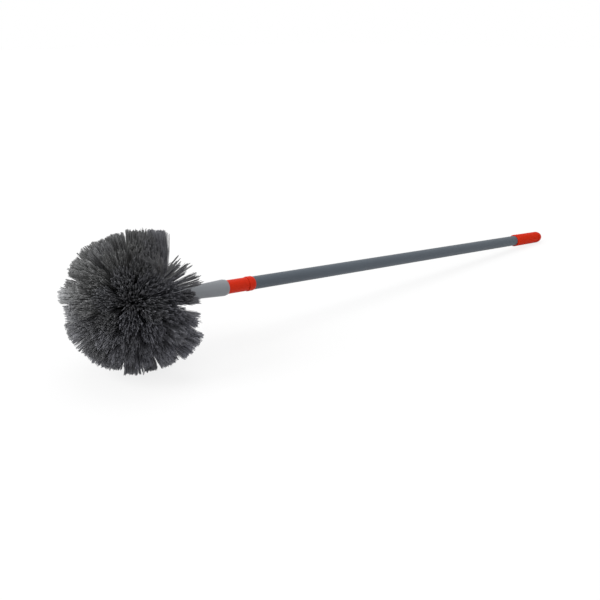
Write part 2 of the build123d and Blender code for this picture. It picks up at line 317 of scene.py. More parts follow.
class BrushThread(bpy.types.PropertyGroup):
    """Screw thread on the pole tip."""

    radius: FloatProperty(
        name="Thread radius", description="From the pole's axis to the crest",
        default=0.0094, unit="LENGTH",
    )
    depth: FloatProperty(
        name="Thread depth", description="From the crest to the bottom of the groove",
        default=0.0010, unit="LENGTH",
    )
    pitch: FloatProperty(
        name="Pitch", description="From one crest to the next", default=0.0051, unit="LENGTH",
    )
    crest: FloatProperty(name="Crest", description="Width of the crest", default=0.0015, unit="LENGTH")
    foot: FloatProperty(
        name="Foot", description="Width of the ridge at its foot", default=0.0031, unit="LENGTH",
    )


class BrushColours(bpy.types.PropertyGroup):
    """Colours of the finishes."""

    bristle: FloatVectorProperty(
        name="Bristle", description="Charcoal of the bristles", subtype="COLOR", size=3,
        default=(0.074, 0.074, 0.076),
    )
    orange: FloatVectorProperty(
        name="Fittings", description="Orange-red of the collar, tip and cap", subtype="COLOR", size=3,
        default=(0.58, 0.021, 0.003),
    )
    coat: FloatVectorProperty(
        name="Tube coat", description="Blue-grey coat of the tubes", subtype="COLOR", size=3,
        default=(0.075, 0.091, 0.110),
    )
    socket: FloatVectorProperty(
        name="Block", description="Light grey of the block and socket", subtype="COLOR", size=3,
        default=(0.228, 0.241, 0.258),
    )
    lock: FloatVectorProperty(
        name="Twist lock", description="Off-white of the lock's mouldings", subtype="COLOR", size=3,
        default=(0.70, 0.69, 0.65),
    )
    steel: FloatVectorProperty(
        name="Steel", description="Bare steel of the spindle and staples", subtype="COLOR", size=3,
        default=(0.56, 0.56, 0.57),
    )
    floor: FloatVectorProperty(
        name="Floor", description="Pale studio floor", subtype="COLOR", size=3, default=(0.75, 0.75, 0.75),
    )


class BrushStage(bpy.types.PropertyGroup):
    """Camera and lamps."""

    camera_place: FloatVectorProperty(
        name="Camera place", description="Where the camera stands", subtype="TRANSLATION", size=3,
        default=(-1.075780, -0.982099, 0.493525),
    )
    azimuth: FloatProperty(
        name="Azimuth", description="Turn of the view about the vertical", subtype="ANGLE",
        default=radians(-42.70),
    )
    elevation: FloatProperty(
        name="Elevation", description="Height of the view above level", subtype="ANGLE",
        default=radians(19.03),
    )
    key_power: FloatProperty(name="Key", description="Main lamp", subtype="POWER", default=72.0)
    fill_power: FloatProperty(name="Fill", description="Lamp opposite", subtype="POWER", default=12.0)
    top_power: FloatProperty(name="Top", description="Lamp overhead", subtype="POWER", default=32.0)
    world_strength: FloatProperty(name="Surroundings", description="Light from all round", default=0.62)


class Wire:
    """Output of a node. Arithmetic on it adds Math nodes, or Vector Math nodes where it is a vector."""

    def __init__(self, graph, socket):
        self.graph = graph
        self.socket = socket

    def __add__(self, other):
        return self.graph.arithmetic("ADD", self, other)

    def __radd__(self, other):
        return self.graph.arithmetic("ADD", other, self)

    def __sub__(self, other):
        return self.graph.arithmetic("SUBTRACT", self, other)

    def __rsub__(self, other):
        return self.graph.arithmetic("SUBTRACT", other, self)

    def __mul__(self, other):
        return self.graph.arithmetic("MULTIPLY", self, other)

    def __rmul__(self, other):
        return self.graph.arithmetic("MULTIPLY", other, self)

    def __truediv__(self, other):
        return self.graph.arithmetic("DIVIDE", self, other)

    def __rtruediv__(self, other):
        return self.graph.arithmetic("DIVIDE", other, self)

    def output(self, name):
        """Another output of the same node."""
        return Wire(self.graph, self.socket.node.outputs[name])


def is_vector(value):
    """Whether a value or wire holds three numbers."""
    if isinstance(value, Wire):
        return value.socket.type == "VECTOR"
    return hasattr(value, "__len__")


def data_type_of(value):
    """Name that attribute nodes give the kind of a value or wire."""
    return "FLOAT_VECTOR" if is_vector(value) else "FLOAT"


class Graph:
    """Nodes of one tree, each added by node()."""

    def __init__(self, tree):
        self.tree = tree
        self.tree.nodes.clear()

    def node(self, kind, settings=None, values=None, output=None):
        """Adds a node with its settings and socket values, and gives the named output or its first."""
        made = self.tree.nodes.new(kind)
        for name, value in (settings or {}).items():
            if name == "stops":
                self.fill_ramp(made.color_ramp, value)
            else:
                setattr(made, name, value)
        for key, value in (values or {}).items():
            self.join(self.find(made.inputs, key), value)
        if not made.outputs:
            return made
        return Wire(self, self.find(made.outputs, 0 if output is None else output))

    @staticmethod
    def find(sockets, key):
        """Socket in use, by its place among those or by its name."""
        in_use = [socket for socket in sockets if socket.enabled]
        if isinstance(key, int):
            return in_use[key]
        return next(socket for socket in in_use if socket.name == key)

    @staticmethod
    def fill_ramp(ramp, stops):
        """Sets the stops of a colour ramp, given as place and colour."""
        while len(ramp.elements) < len(stops):
            ramp.elements.new(1.0)
        for element, (place, colour) in zip(ramp.elements, stops):
            element.position = place
            element.color = (*colour, 1.0)

    def join(self, socket, value):
        """Links a wire to a socket, or sets the socket's own value."""
        if isinstance(value, Wire):
            self.tree.links.new(value.socket, socket)
        elif socket.type == "RGBA":
            socket.default_value = (*value, 1.0)
        else:
            socket.default_value = value

    def arithmetic(self, operation, first, second):
        """Sum, difference, product or quotient of two values, of which one at least is a wire."""
        if not is_vector(first) and not is_vector(second):
            return self.math(operation, first, second)
        if operation == "MULTIPLY" and is_vector(first) != is_vector(second):
            vector, number = (first, second) if is_vector(first) else (second, first)
            return self.vector("SCALE", vector, Scale=number)
        return self.vector(operation, first, second)

    def math(self, operation, *values):
        return self.node("ShaderNodeMath", {"operation": operation}, dict(enumerate(values)))

    def vector(self, operation, *values, **named):
        values = {**dict(enumerate(values)), **named}
        return self.node("ShaderNodeVectorMath", {"operation": operation}, values)

    def length(self, vector):
        return self.node("ShaderNodeVectorMath", {"operation": "LENGTH"}, {0: vector}, "Value")

    def mix(self, share, first, second, blend="MIX"):
        """Mix of two colours."""
        settings = {"data_type": "RGBA", "blend_type": blend, "clamp_factor": True}
        return self.node("ShaderNodeMix", settings, {"Factor": share, "A": first, "B": second}, "Result")

    def spread(self, value, low, high):
        """A value from 0 to 1 spread between low and high."""
        return value * (high - low) + low


class BristleGraph(Graph):
    """Nodes of the tree that makes bristles."""

    def stored(self, name, data_type="FLOAT"):
        """Attribute that the points carry."""
        return self.node("GeometryNodeInputNamedAttribute", {"data_type": data_type}, {"Name": name})

    def stored_vector(self, name):
        return self.stored(name, "FLOAT_VECTOR")

    def store(self, geometry, name, value):
        """Geometry whose points also carry a value."""
        settings = {"data_type": data_type_of(value), "domain": "POINT"}
        values = {"Geometry": geometry, "Name": name, "Value": value}
        return self.node("GeometryNodeStoreNamedAttribute", settings, values)

    def chance(self, low, high, seed):
        """Random number, or random vector where low and high are vectors."""
        values = {"Min": low, "Max": high, "Seed": seed}
        return self.node("FunctionNodeRandomValue", {"data_type": data_type_of(low)}, values)

    def repeat(self, geometry, amount):
        """Each point repeated, as geometry and the number of the copy."""
        values = {"Geometry": geometry, "Amount": amount}
        made = self.node("GeometryNodeDuplicateElements", {"domain": "POINT"}, values, "Geometry")
        return made, made.output("Duplicate Index")

    def disc(self, angle, radius):
        """Point of a disc as a vector."""
        across = self.math("COSINE", angle) * radius
        along = self.math("SINE", angle) * radius
        return self.node("ShaderNodeCombineXYZ", None, {"X": across, "Y": along})


# Inputs of the bristles' tree. The first group bears the names of the sizes that it takes
SIZE_INPUTS = {
    "Locks": "NodeSocketInt",
    "Bristles per Lock": "NodeSocketInt",
    "Hole Radius": "NodeSocketFloat",
    "Lock Share": "NodeSocketFloat",
    "Loose Share": "NodeSocketFloat",
    "Root Width": "NodeSocketFloat",
    "Tip Width": "NodeSocketFloat",
    "Curl": "NodeSocketFloat",
    "Lock Trim": "NodeSocketFloat",
    "Bristle Trim": "NodeSocketFloat",
}
TREE_INPUTS = {
    "Geometry": "NodeSocketGeometry",
    "Centre": "NodeSocketVector",
    **SIZE_INPUTS,
    "Root Reach": "NodeSocketFloat",
    "Box Low": "NodeSocketVector",
    "Box High": "NodeSocketVector",
    "Seed": "NodeSocketInt",
    "Bristle Finish": "NodeSocketMaterial",
    "Block Finish": "NodeSocketMaterial",
}
ONES = (1.0, 1.0, 1.0)
MINUS_ONES = (-1.0, -1.0, -1.0)
SEED_STEP = 100

# Locks: turn from one to the next, how far each is shaken from its place in the tuft, and how they
# differ in reach and width
GOLDEN_ANGLE = pi * (3 - sqrt(5))
LOCK_SHAKE = (0.16, 0.16, 0)
LOCK_REACH = (-1.0, 0.6)
LOCK_WIDTHS = ((0.3, 0.3, 0), (1.25, 1.25, 0))

# Bristles: sides and stretches of one, how they differ in reach, how much shorter the loose ones are,
# how far those spread past the tuft's own radius, and how fully a bristle takes up its tuft's lean
BRISTLE_SIDES = 4
BRISTLE_STRETCHES = 4
BRISTLE_REACH = (-1.0, 0.5)
LOOSE_SHORTER = 3.0
LOOSE_SPREAD = 1.1
LEAN_TAKEN = (0.88, 1.12)

# Tone of a bristle: shares that come from its tuft, whose tone is partly painted light and shade,
# from its lock and from chance
TUFT_TONE = 0.5
LOCK_TONE = 0.28
BRISTLE_TONE = 0.22

# With t along a bristle, t(1-t) is at most 1/4 and t(1-t)(1-t) at most 4/27, so these bring a bow
# and a knee to their full measure
BOW_SCALE = 4.0
KNEE_SCALE = 27 / 4


def bristle_tree():
    """Tree that grows the bristles of each tuft point, and keeps the slice of the block as it is."""
    tree = bpy.data.node_groups.new("brush_bristles", "GeometryNodeTree")
    for name, kind in TREE_INPUTS.items():
        tree.interface.new_socket(name, in_out="INPUT", socket_type=kind)
    tree.interface.new_socket("Geometry", in_out="OUTPUT", socket_type="NodeSocketGeometry")
    graph = BristleGraph(tree)
    given = graph.node("NodeGroupInput").output
    seed = given("Seed")

    parted = graph.node(
        "GeometryNodeSeparateGeometry", {"domain": "POINT"},
        {"Geometry": given("Geometry"), "Selection": graph.stored("is_tuft")}, "Selection",
    )
    slice_part = parted.output("Inverted")
    points = graph.node("GeometryNodeMeshToPoints", {"mode": "VERTICES"}, {"Mesh": parted})

    # Locks, spread over the tuft like the seeds of a sunflower and then shaken
    locks, number = graph.repeat(points, given("Locks"))
    angle = number * GOLDEN_ANGLE + graph.stored("spin")
    radius = graph.math("SQRT", (number + 0.5) / given("Locks"))
    shake = graph.chance(tuple(-most for most in LOCK_SHAKE), LOCK_SHAKE, seed + 1)
    locks = graph.store(locks, "lock_spot", graph.disc(angle, radius) + shake)
    locks = graph.store(locks, "lock_trim", graph.chance(*LOCK_REACH, seed + 2))
    locks = graph.store(locks, "lock_tone", graph.chance(-1.0, 1.0, seed + 3))
    locks = graph.store(locks, "lock_width", graph.chance(*LOCK_WIDTHS, seed + 10))

    spare = graph.math("GREATER_THAN", graph.chance(0.0, 1.0, seed + 13), graph.stored("fill"))
    locks = graph.node(
        "GeometryNodeDeleteGeometry", {"domain": "POINT"}, {"Geometry": locks, "Selection": spare}
    )

    # Bristles of each lock
    bristles, number = graph.repeat(locks, given("Bristles per Lock"))
    angle = graph.chance(0.0, 2 * pi, seed + 4)
    radius = graph.math("SQRT", graph.chance(0.0, 1.0, seed + 5))
    lock_radius = radius * given("Lock Share") * graph.stored("tight")
    tied = graph.disc(angle, lock_radius) * graph.stored_vector("lock_width")
    tied = tied + graph.stored_vector("lock_spot")
    loose = graph.disc(angle, radius * LOOSE_SPREAD)
    loose_share = graph.stored("loose") * given("Loose Share")
    is_loose = graph.math("LESS_THAN", graph.chance(0.0, 1.0, seed + 11), loose_share)
    bristles = graph.store(bristles, "spot", tied + (loose - tied) * is_loose)
    bristles = graph.store(bristles, "is_loose", is_loose)
    across = graph.node("ShaderNodeSeparateXYZ", None, {"Vector": graph.stored_vector("spot")}, "X")
    along_way = graph.stored_vector("along") * across
    around_way = graph.stored_vector("around") * across.output("Y")
    sideways = along_way * graph.stored("half_along") + around_way * graph.stored("half_around")
    outward = graph.stored_vector("outward")
    reach = (
        graph.stored("reach")
        + graph.stored("lock_trim") * given("Lock Trim") * graph.stored("raggedness")
        + graph.chance(*BRISTLE_REACH, seed + 6) * given("Bristle Trim") * graph.stored("raggedness")
        - graph.chance(0.0, LOOSE_SHORTER, seed + 12) * given("Bristle Trim") * graph.stored("is_loose")
    )
    root = outward * given("Root Reach") + (along_way + around_way) * given("Hole Radius")
    tip = graph.vector("NORMALIZE", outward * graph.stored("reach") + sideways) * reach
    bristles = graph.store(bristles, "root", root)
    bristles = graph.store(bristles, "tip", tip)
    run = graph.stored_vector("tip") - graph.stored_vector("root")
    length = graph.length(run)
    leaned = run + graph.stored_vector("lean") * graph.chance(*LEAN_TAKEN, seed + 7)
    sweep = graph.vector("NORMALIZE", leaned) * length - run
    bristles = graph.store(bristles, "sweep", sweep)
    bow = graph.chance(MINUS_ONES, ONES, seed + 8) * given("Curl")
    bristles = graph.store(bristles, "bow", bow)
    # The tuft's share of the tone is partly painted light and shade, the rest is tone at random
    tone = (
        graph.stored("tuft_tone") * TUFT_TONE
        + graph.stored("lock_tone") * LOCK_TONE
        + graph.chance(-BRISTLE_TONE, BRISTLE_TONE, seed + 9)
    )
    bristles = graph.store(bristles, "tone", tone * 0.5 + 0.5)
    bristles = graph.node(
        "GeometryNodeSetPosition", None,
        {"Geometry": bristles, "Position": graph.stored_vector("root") + given("Centre")},
    )

    # One bristle of unit length
    size = {"Vertices": BRISTLE_SIDES, "Side Segments": BRISTLE_STRETCHES, "Radius": 1.0, "Depth": 1.0}
    unit = graph.node("GeometryNodeMeshCylinder", {"fill_type": "NGON"}, size, "Mesh")
    place = graph.node("GeometryNodeInputPosition")
    height = graph.node("ShaderNodeSeparateXYZ", None, {"Vector": place}, "Z") + 0.5
    width = height * (given("Tip Width") - given("Root Width")) + given("Root Width")
    flat_place = graph.vector("MULTIPLY", place, (1.0, 1.0, 0.0)) * width
    upright = graph.node("ShaderNodeCombineXYZ", None, {"Z": height})
    unit = graph.store(unit, "run", height)
    unit = graph.node("GeometryNodeSetPosition", None, {"Geometry": unit, "Position": flat_place + upright})

    turn = graph.node("FunctionNodeAlignRotationToVector", {"axis": "Z"}, {"Vector": run})
    scale = graph.node("ShaderNodeCombineXYZ", None, {"X": 1.0, "Y": 1.0, "Z": length})
    grown = graph.node(
        "GeometryNodeInstanceOnPoints", None,
        {"Points": bristles, "Instance": unit, "Rotation": turn, "Scale": scale},
    )
    grown = graph.node("GeometryNodeRealizeInstances", None, {"Geometry": grown})
    share = graph.stored("run")
    moved = (
        place
        + graph.stored_vector("sweep") * (share * share)
        + graph.stored_vector("bow") * (share * (1.0 - share) * BOW_SCALE)
        + graph.stored_vector("knee") * (share * (1.0 - share) * (1.0 - share) * KNEE_SCALE)
    )
    inside = graph.vector("MINIMUM", graph.vector("MAXIMUM", moved, given("Box Low")), given("Box High"))
    grown = graph.node("GeometryNodeSetPosition", None, {"Geometry": grown, "Position": inside})
    grown = graph.node(
        "GeometryNodeSetMaterial", None, {"Geometry": grown, "Material": given("Bristle Finish")}
    )
    slice_part = graph.node(
        "GeometryNodeSetMaterial", None, {"Geometry": slice_part, "Material": given("Block Finish")}
    )
    both = graph.node("GeometryNodeJoinGeometry")
    tree.links.new(slice_part.socket, both.socket.node.inputs[0])
    tree.links.new(grown.socket, both.socket.node.inputs[0])
    graph.node("NodeGroupOutput", None, {"Geometry": both})
    return tree


def polar(radius, angle):
    """Station and radius of a point on a sphere about the ball's centre, with the angle from the front."""
    return (-radius * cos(angle), radius * sin(angle))


def in_frame(point):
    """Point given along the pole, from the ball's centre, in the frame."""
    return BALL_CENTRE + POLE_TURN @ Vector(point)


def round_pole(bm, station, radius, turn):
    """New vertex at a station of the pole, a radius from its axis and turned about it."""
    return bm.verts.new(in_frame((station, radius * sin(turn), radius * cos(turn))))


def turned_mesh(bm, profile, facets):
    """Adds a closed profile of stations and radii, turned about the pole."""
    turns = [2 * pi * place / facets for place in range(facets)]
    rings = []
    for station, radius in profile:
        if radius == 0.0:
            rings.append([round_pole(bm, station, 0.0, 0.0)])
        else:
            rings.append([round_pole(bm, station, radius, turn) for turn in turns])
    for first, second in zip(rings, rings[1:] + rings[:1]):
        for place in range(facets):
            after = (place + 1) % facets
            corners = [first[place % len(first)], first[after % len(first)]]
            corners += [second[after % len(second)], second[place % len(second)]]
            corners = list(dict.fromkeys(corners))
            if len(corners) > 2:
                bm.faces.new(corners)
    bmesh.ops.recalc_face_normals(bm, faces=bm.faces)


def slice_profile(block_radius, front, rear):
    """Outline of a slice of the block between two angles."""
    core = block_radius - SLICE_THICKNESS
    steps = [front + (rear - front) * step / SLICE_ARC_STEPS for step in range(SLICE_ARC_STEPS + 1)]
    return [polar(core, front)] + [polar(block_radius, step) for step in steps] + [polar(core, rear)]


def ring_places(ring):
    """Angle from the front and turns round the pole of the tufts in a ring."""
    angle = ring * RING_STEP
    count = 1 if ring == 0 else round(2 * pi * sin(angle) / RING_STEP)
    return [(angle, 2 * pi * place / count) for place in range(count)]


def tuft_nodes():
    """Each bristle node of the model with its slice's outline angles and its tufts."""
    half = RING_STEP / 2
    nodes = {"nose_tuft": ((0.0, half), ring_places(0))}
    for ring in range(1, RING_COUNT):
        edges = (ring * RING_STEP - half, ring * RING_STEP + half)
        nodes[f"tuft_ring_{ring}"] = (edges, ring_places(ring))
    rear = [(REAR_ANGLE, 2 * pi * place / REAR_TUFTS) for place in range(REAR_TUFTS)]
    nodes["rear_tuft_ring"] = ((REAR_SLICE_FRONT, REAR_SLICE_END), rear)
    return nodes


def view_axes(azimuth, elevation):
    """Right, up and forward of a view, as unit vectors."""
    forward = Vector((-sin(azimuth) * cos(elevation), cos(azimuth) * cos(elevation), -sin(elevation)))
    right = forward.cross(Vector((0, 0, 1))).normalized()
    return right, right.cross(forward), forward


TUFT_VALUES = {
    "outward": "FLOAT_VECTOR", "along": "FLOAT_VECTOR", "around": "FLOAT_VECTOR",
    "lean": "FLOAT_VECTOR", "knee": "FLOAT_VECTOR",
    "half_along": "FLOAT", "half_around": "FLOAT", "reach": "FLOAT", "spin": "FLOAT",
    "raggedness": "FLOAT", "fill": "FLOAT", "loose": "FLOAT", "tight": "FLOAT",
    "tuft_tone": "FLOAT", "tint": "FLOAT", "is_tuft": "FLOAT",
}


# How tufts differ by chance: stray of the tips and loss of reach in metres, the rest as shares
TUFT_STRAY = 0.0016
TUFT_REACH_LOSS = 0.0036
TUFT_WIDTHS = (0.86, 1.06)
RAGGEDNESS = (0.6, 1.5)
REAR_RAGGEDNESS = (1.6, 3.0)
TUFT_TONES = (-0.6, 0.3)
REAR_WIDTH = 0.8

# Tint of a tuft, from 0 for bluish to 1 for olive: how much it follows the tuft's way up and to the
# left in the photograph's view, which is a painted cast of light, and how much chance
TINT_SWAY = 0.5
TINT_CHANCE = 0.3


def tuft_way(angle, turn):
    """Direction in which a tuft stands, along the pole's own axes."""
    return Vector((-cos(angle), sin(angle) * sin(turn), -sin(angle) * cos(turn)))


def tuft_values(name, place, angle, turn, sizes, view, draw):
    """What one tuft's point tells the tree: its directions, widths, reach, lean, tone and tint, where a
    comb's tone is painted light and shade and the tint is partly a painted cast of light.
    """
    right, up, _ = view
    comb = COMBED.get(name, {}).get(place, Comb())
    outward = POLE_TURN @ tuft_way(angle, turn)
    along = POLE_TURN @ Vector((sin(angle), cos(angle) * sin(turn), -cos(angle) * cos(turn)))
    around = POLE_TURN @ Vector((0, cos(turn), sin(turn)))
    stray = along * draw.gauss(0, TUFT_STRAY) + around * draw.gauss(0, TUFT_STRAY)
    lean = (right * comb.right + up * comb.up) * MILLIMETRE + stray
    # Tint that follows the tuft's way in the view is a painted cast of light, olive up and left, bluish
    # down and right
    sway = TINT_SWAY * outward.dot(up - right)
    rear = name == "rear_tuft_ring"
    width = sizes.tuft_radius * comb.width * (REAR_WIDTH if rear else 1.0)
    return {
        "outward": outward, "along": along, "around": around, "lean": lean,
        "knee": (right * comb.knee[0] + up * comb.knee[1]) * MILLIMETRE,
        "half_along": width * draw.uniform(*TUFT_WIDTHS),
        "half_around": width * draw.uniform(*TUFT_WIDTHS),
        "reach": (sizes.ball_radius - draw.uniform(0, TUFT_REACH_LOSS)) * comb.reach,
        "spin": draw.uniform(0, 2 * pi),
        "raggedness": draw.uniform(*(REAR_RAGGEDNESS if rear else RAGGEDNESS)),
        # A comb's tone is painted light and shade; a tuft without one gets a tone at random
        "tuft_tone": comb.tone or draw.uniform(*TUFT_TONES),
        "fill": comb.fill,
        "loose": comb.loose,
        "tight": comb.tight,
        "tint": min(1.0, max(0.0, 0.5 + sway + draw.uniform(-TINT_CHANCE, TINT_CHANCE))),
        "is_tuft": 1.0,
    }


def tuft_base(name, edges, places, sizes, view, draw):
    """Mesh with the slice of the block and one loose point for each tuft."""
    bm = bmesh.new()
    front, rear = edges
    if front == 0.0:
        core = sizes.block_radius - SLICE_THICKNESS
        profile = slice_profile(sizes.block_radius, front, rear)[1:-1]
        profile = [(profile[0][0] + SLICE_THICKNESS, 0.0)] + profile + [polar(core, rear)]
    else:
        profile = slice_profile(sizes.block_radius, front, rear)
    turned_mesh(bm, profile, SLICE_FACETS)
    first_tuft = len(bm.verts)
    for angle, turn in places:
        bm.verts.new(in_frame(tuft_way(angle, turn) * sizes.block_radius))
    mesh = bpy.data.meshes.new(f"{name}_bristles")
    bm.to_mesh(mesh)
    bm.free()
    rows = [
        tuft_values(name, place, angle, turn, sizes, view, draw)
        for place, (angle, turn) in enumerate(places)
    ]
    for key, kind in TUFT_VALUES.items():
        values = mesh.attributes.new(key, kind, "POINT").data
        for place, row in enumerate(rows):
            if kind == "FLOAT":
                values[first_tuft + place].value = row[key]
            else:
                values[first_tuft + place].vector = row[key]
    return mesh


def apply_tree(piece, tree, values):
    """Runs a tree on a piece, and leaves the result as the piece's plain mesh."""
    modifier = piece.modifiers.new("bristles", "NODES")
    modifier.node_group = tree
    sockets = {item.name: item.identifier for item in tree.interface.items_tree if item.in_out == "INPUT"}
    for name, value in values.items():
        modifier[sockets[name]] = value
    depsgraph = bpy.context.evaluated_depsgraph_get()
    mesh = bpy.data.meshes.new_from_object(
        piece.evaluated_get(depsgraph), preserve_all_data_layers=True, depsgraph=depsgraph
    )
    piece.modifiers.clear()
    bare = piece.data
    piece.data = mesh
    bpy.data.meshes.remove(bare)


def add_thread(bm, thread, front, rear):
    """Adds the ridge of a screw thread, as a closed solid that runs out into the core at both ends."""
    foot_radius = thread.radius - thread.depth - THREAD_BURIED
    lowest_crest = foot_radius + THREAD_BURIED / 2
    turns = (rear - front - thread.foot) / thread.pitch
    steps = int(turns * THREAD_STEPS)
    sections = []
    for step in range(steps + 1):
        turn = 2 * pi * step / THREAD_STEPS
        station = front + thread.foot / 2 + thread.pitch * step / THREAD_STEPS
        from_end = min(step, steps - step) / (THREAD_RUN_OUT * THREAD_STEPS)
        crest_radius = lowest_crest + (thread.depth + THREAD_BURIED / 2) * min(1.0, from_end)
        outline = [
            (station - thread.foot / 2, foot_radius), (station - thread.crest / 2, crest_radius),
            (station + thread.crest / 2, crest_radius), (station + thread.foot / 2, foot_radius),
        ]
        sections.append([round_pole(bm, place, radius, turn) for place, radius in outline])
    faces = [bm.faces.new(sections[0]), bm.faces.new(sections[-1][::-1])]
    for first, second in zip(sections, sections[1:]):
        for place in range(len(first)):
            after = (place + 1) % len(first)
            faces.append(bm.faces.new((first[place], first[after], second[after], second[place])))
    bmesh.ops.recalc_face_normals(bm, faces=faces)


def threaded_tip(thread):
    """Mesh of the pole tip: turned body with its bore, and the screw thread on the front end."""
    root = thread.radius - thread.depth
    bm = bmesh.new()
    turned_mesh(
        bm,
        [
            (TIP_FRONT, 0.0),
            (TIP_FRONT, root - NECK_CHAMFER),
            (TIP_FRONT + NECK_CHAMFER, root),
            (NECK_FRONT, root),
            (NECK_FRONT, NECK_RADIUS - NECK_CHAMFER),
            (NECK_FRONT + NECK_CHAMFER, NECK_RADIUS),
            (NECK_REAR - NECK_CHAMFER, NECK_RADIUS),
            (NECK_REAR, NECK_RADIUS - NECK_CHAMFER),
            (NECK_REAR, SPIGOT_RADIUS),
            (SPIGOT_REAR, SPIGOT_RADIUS),
            (SPIGOT_REAR, TIP_BORE_RADIUS),
            (SPIGOT_REAR - TIP_BORE_LENGTH, TIP_BORE_RADIUS),
            (SPIGOT_REAR - TIP_BORE_LENGTH, 0.0),
        ],
        TIP_FACETS,
    )
    add_thread(bm, thread, TIP_FRONT + NECK_CHAMFER, NECK_FRONT - THREAD_RELIEF)
    mesh = bpy.data.meshes.new("threaded_tip")
    bm.to_mesh(mesh)
    bm.free()
    mesh.shade_smooth()
    mesh.set_sharp_from_angle(angle=SHARP_ANGLE)
    return mesh


def new_material(name):
    """Empty node material with its graph."""
    material = bpy.data.materials.new(name)
    material.use_nodes = True
    return material, Graph(material.node_tree)


def along_pole(graph):
    """Object coordinates turned so that X runs along the pole."""
    place = graph.node("ShaderNodeTexCoord", None, None, "Object")
    settings = {"vector_type": "TEXTURE"}
    return graph.node(
        "ShaderNodeMapping", settings,
        {"Vector": place, "Location": tuple(BALL_CENTRE), "Rotation": (0.0, POLE_TILT, 0.0)},
    )


def noise(graph, place, scale, detail):
    """Noise with so many waves to a metre, the same all ways or given for along and across the pole."""
    if is_vector(scale):
        place, scale = graph.vector("MULTIPLY", place, scale), 1.0
    values = {"Vector": place, "Scale": scale, "Detail": detail, "Roughness": 0.5}
    return graph.node("ShaderNodeTexNoise", {"noise_dimensions": "3D"}, values, "Fac")


def bump(graph, height, strength, distance):
    """Normals of a skin with a height from 0 to 1."""
    values = {"Height": height, "Strength": strength, "Distance": distance}
    return graph.node("ShaderNodeBump", None, values)


def shade(graph, shader):
    graph.node("ShaderNodeOutputMaterial", None, {"Surface": shader})


def shade_principled(graph, values):
    shade(graph, graph.node("ShaderNodeBsdfPrincipled", None, values))


# Filament: its colour as times the charcoal by place from block to tip, that again by tone, its hue
# from tufts that face down and right to those that face up and left, and its roughness by tone. The
# colour that grows paler towards the block is painted light in the shade among the roots, the tone
# carries the tufts' painted light and shade, and the hue by way of facing is a painted cast of light
BRISTLE_RUN = ((0.0, 5.0), (0.45, 3.2), (0.88, 2.1), (1.0, 2.7))
BRISTLE_LEVELS = (0.55, 2.2)
BRISTLE_HUES = ((0.99, 1.0, 1.1), (1.0, 1.01, 0.985))
BRISTLE_ROUGHNESS = (0.5, 0.36)


def bristle_finish(colours):
    """Charcoal filament, with painted light that makes it palest at the block, where little light gets, and
    a tone, partly painted light and shade, that differs from tuft to tuft.
    """
    material, graph = new_material("bristle")
    run, tone, tint = (
        graph.node("ShaderNodeAttribute", {"attribute_name": name}, None, "Fac")
        for name in ("run", "tone", "tint")
    )
    base = Vector(colours.bristle)
    # Paler towards the block: painted light in the shade among the roots
    stops = [(place, base * times) for place, times in BRISTLE_RUN]
    along = graph.node("ShaderNodeValToRGB", {"stops": stops}, {"Fac": run})
    hue = graph.mix(tint, *BRISTLE_HUES)
    level = graph.spread(tone * tone, *BRISTLE_LEVELS)
    levels = graph.node("ShaderNodeCombineColor", None, {"Red": level, "Green": level, "Blue": level})
    colour = graph.mix(1.0, graph.mix(1.0, along, hue, "MULTIPLY"), levels, "MULTIPLY")
    shade_principled(graph, {"Base Color": colour, "Roughness": graph.spread(tone, *BRISTLE_ROUGHNESS)})
    return material


# Moulded plastic: waves to a metre of flow marks, grain and rubs, and how far each shows
FLOW_WAVES = (9.0, 34.0, 34.0)
FLOW_DEPTH = 0.08
GRAIN_WAVES = 1900.0
GRAIN_STRENGTH = 0.06
GRAIN_HEIGHT = 0.0004
GRAIN_ROUGHNESS = (-0.04, 0.06)
RUB_WAVES = (60.0, 420.0, 420.0)
RUB_EDGE = 0.66
RUB_SHARE = 0.12
RUB_FADE = 0.7
RUB_WHITE = 0.12
RUB_ROUGHNESS = 0.08


def moulded_finish(name, colour, roughness, shine=SATIN):
    """Moulded plastic: fine spark-eroded grain, faint flow marks and small rubs."""
    material, graph = new_material(name)
    place = along_pole(graph)
    flow = noise(graph, place, FLOW_WAVES, detail=3.0)
    grain = noise(graph, place, GRAIN_WAVES, detail=2.0)
    rubs = graph.math("GREATER_THAN", noise(graph, place, RUB_WAVES, detail=4.0), RUB_EDGE)
    base = Vector(colour)
    clouded = graph.mix(flow, base * (1 - FLOW_DEPTH), base * (1 + FLOW_DEPTH))
    smoothest, roughest = (roughness + change for change in GRAIN_ROUGHNESS)
    shade_principled(graph, {
        "Base Color": graph.mix(rubs * RUB_SHARE, clouded, base * RUB_FADE + Vector(ONES) * RUB_WHITE),
        "Roughness": graph.spread(grain, smoothest, roughest) + rubs * RUB_ROUGHNESS,
        "Specular IOR Level": shine,
        "Normal": bump(graph, grain, GRAIN_STRENGTH, GRAIN_HEIGHT),
    })
    return material


# Powder coat: waves to a metre of its skin, drawn marks and clouds, and how far each shows
PEEL_WAVES = 950.0
PEEL_STRENGTH = 0.05
PEEL_HEIGHT = 0.0003
MARK_WAVES = (5.0, 260.0, 260.0)
MARK_SHARE = 0.35
MARK_LIGHT = 1.22
CLOUD_WAVES = (7.0, 40.0, 40.0)
CLOUD_DEPTH = 0.07
COAT_ROUGHNESS = (0.42, 0.54)


